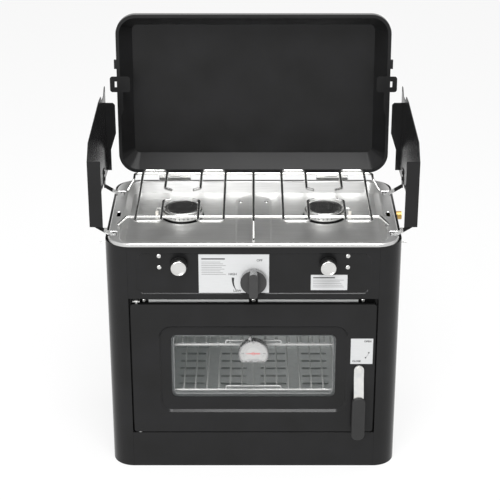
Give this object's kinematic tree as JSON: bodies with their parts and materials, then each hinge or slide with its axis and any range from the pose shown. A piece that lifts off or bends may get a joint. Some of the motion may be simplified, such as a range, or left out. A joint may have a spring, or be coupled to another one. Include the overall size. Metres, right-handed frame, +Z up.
{
  "type": "camp oven with two-burner stove",
  "caption": "Gas camp oven with a windowed side-hinged door, a two-burner stove on top, a lid that stands up behind it and fold-out side wind guards.",
  "frame": {"origin": "middle of the underside of the base pan", "axes": "+X to the right seen from the front, +Y to the back, +Z up"},
  "size_m": [0.5704, 0.4034, 0.7625],
  "materials": {
    "black_enamel": "semi-gloss enamel",
    "stainless": "brushed",
    "galvanised": "spangled zinc",
    "chrome_wire": "polished",
    "knob_plastic": "gloss",
    "grip_plastic": "matte",
    "printed_plate": "satin print",
    "window_glass": "clear",
    "rope_seal": "woven",
    "brass": "machined",
    "cast_aluminium": "as cast",
    "ceramic": "glazed",
    "dial_white": "printed",
    "needle_red": "gloss"
  },
  "bodies": {
    "body": {"base_pan": "black_enamel", "left_side_panel": "black_enamel", "right_side_panel": "black_enamel", "back_panel": "black_enamel", "front_base_panel": "black_enamel", "control_panel": "black_enamel", "panel_labels": "printed_plate", "oven_front_frame": "black_enamel", "frame_strips": "galvanised", "screws": "chrome_wire", "heat_shield": "galvanised", "cooktop_tray": "stainless", "left_burner": "cast_aluminium", "right_burner": "cast_aluminium", "burner_caps": "cast_aluminium", "igniters": "ceramic", "gas_manifold": "galvanised", "gas_inlet": "brass", "gas_valves": "brass", "oven_gas_tube": "cast_aluminium", "oven_box": "galvanised", "oven_floor_plate": "galvanised", "oven_burner": "galvanised", "rack_rails": "galvanised", "lower_rack": "chrome_wire", "upper_rack": "chrome_wire", "door_brackets": "galvanised", "lid_hinge_leaves": "galvanised", "wing_brackets": "galvanised", "latch_brackets": "galvanised", "hinge_pins": "galvanised"},
    "lid": {"lid_shell": "black_enamel", "lid_hinge_flaps": "galvanised", "lid_catch_plates": "galvanised"},
    "left_side_wing": {"left_wing": "black_enamel", "left_wing_straps": "galvanised"},
    "right_side_wing": {"right_wing": "black_enamel", "right_wing_straps": "galvanised"},
    "left_latch": {"left_latch_hook": "chrome_wire"},
    "right_latch": {"right_latch_hook": "chrome_wire"},
    "grate": {"grate_rods": "chrome_wire", "left_grate_loops": "chrome_wire", "right_grate_loops": "chrome_wire"},
    "door": {"door_skin": "black_enamel", "door_window": "window_glass", "door_liner": "galvanised", "door_gasket": "rope_seal", "thermometer_case": "stainless", "thermometer_dial": "dial_white", "thermometer_lens": "window_glass"},
    "door_handle": {"handle_strap": "chrome_wire", "handle_grip": "grip_plastic", "handle_shaft": "galvanised"},
    "needle": {"thermometer_needle": "needle_red"},
    "left_push": {"left_stem": "galvanised"},
    "left_turn": {"left_knob": "knob_plastic"},
    "right_push": {"right_stem": "galvanised"},
    "right_turn": {"right_knob": "knob_plastic"},
    "oven_push": {"oven_stem": "galvanised"},
    "oven_turn": {"oven_knob": "knob_plastic"}
  },
  "joints": [
    {"name": "lid_hinge", "type": "hinge", "parent": "body", "child": "lid", "pos_m": [0, 0.1575, 0.454], "axis": [-1, 0, 0], "range_deg": [-94.1, 0]},
    {"name": "left_wing_hinge", "type": "hinge", "parent": "body", "child": "left_side_wing", "pos_m": [-0.244, 0, 0.4465], "axis": [0, -1, 0], "range_deg": [-87, 0]},
    {"name": "right_wing_hinge", "type": "hinge", "parent": "body", "child": "right_side_wing", "pos_m": [0.244, 0, 0.4465], "axis": [0, 1, 0], "range_deg": [-87, 0]},
    {"name": "left_latch_swing", "type": "hinge", "parent": "body", "child": "left_latch", "pos_m": [-0.2635, -0.06, 0.4385], "axis": [0, 1, 0], "range_deg": [0, 165]},
    {"name": "right_latch_swing", "type": "hinge", "parent": "body", "child": "right_latch", "pos_m": [0.2635, -0.06, 0.4385], "axis": [0, -1, 0], "range_deg": [0, 165]},
    {"name": "grate_lift", "type": "slide", "parent": "body", "child": "grate", "axis": [0, 0, 1], "range_m": [0, 0.06]},
    {"name": "door_hinge", "type": "hinge", "parent": "body", "child": "door", "pos_m": [-0.207, -0.147, 0.203], "axis": [0, 0, -1], "range_deg": [0, 120]},
    {"name": "handle_turn", "type": "hinge", "parent": "door", "child": "door_handle", "pos_m": [0.1895, -0.155, 0.203], "axis": [0, -1, 0], "range_deg": [0, 90]},
    {"name": "needle_swing", "type": "hinge", "parent": "door", "child": "needle", "pos_m": [0, -0.158, 0.2375], "axis": [0, 1, 0], "range_deg": [-40, 220]},
    {"name": "left_knob_push", "type": "slide", "parent": "body", "child": "left_push", "axis": [0, 1, 0], "range_m": [0, 0.002], "stiffness_N_per_m": 600, "springref_m": -0.003},
    {"name": "left_knob_turn", "type": "hinge", "parent": "left_push", "child": "left_turn", "pos_m": [-0.13, -0.16, 0.411], "axis": [0, -1, 0], "range_deg": [0, 150]},
    {"name": "right_knob_push", "type": "slide", "parent": "body", "child": "right_push", "axis": [0, 1, 0], "range_m": [0, 0.002], "stiffness_N_per_m": 600, "springref_m": -0.003},
    {"name": "right_knob_turn", "type": "hinge", "parent": "right_push", "child": "right_turn", "pos_m": [0.13, -0.16, 0.411], "axis": [0, -1, 0], "range_deg": [0, 150]},
    {"name": "oven_knob_push", "type": "slide", "parent": "body", "child": "oven_push", "axis": [0, 1, 0], "range_m": [0, 0.002], "stiffness_N_per_m": 600, "springref_m": -0.003},
    {"name": "oven_knob_turn", "type": "hinge", "parent": "oven_push", "child": "oven_turn", "pos_m": [0, -0.16, 0.38], "axis": [0, -1, 0], "range_deg": [0, 150]}
  ]
}
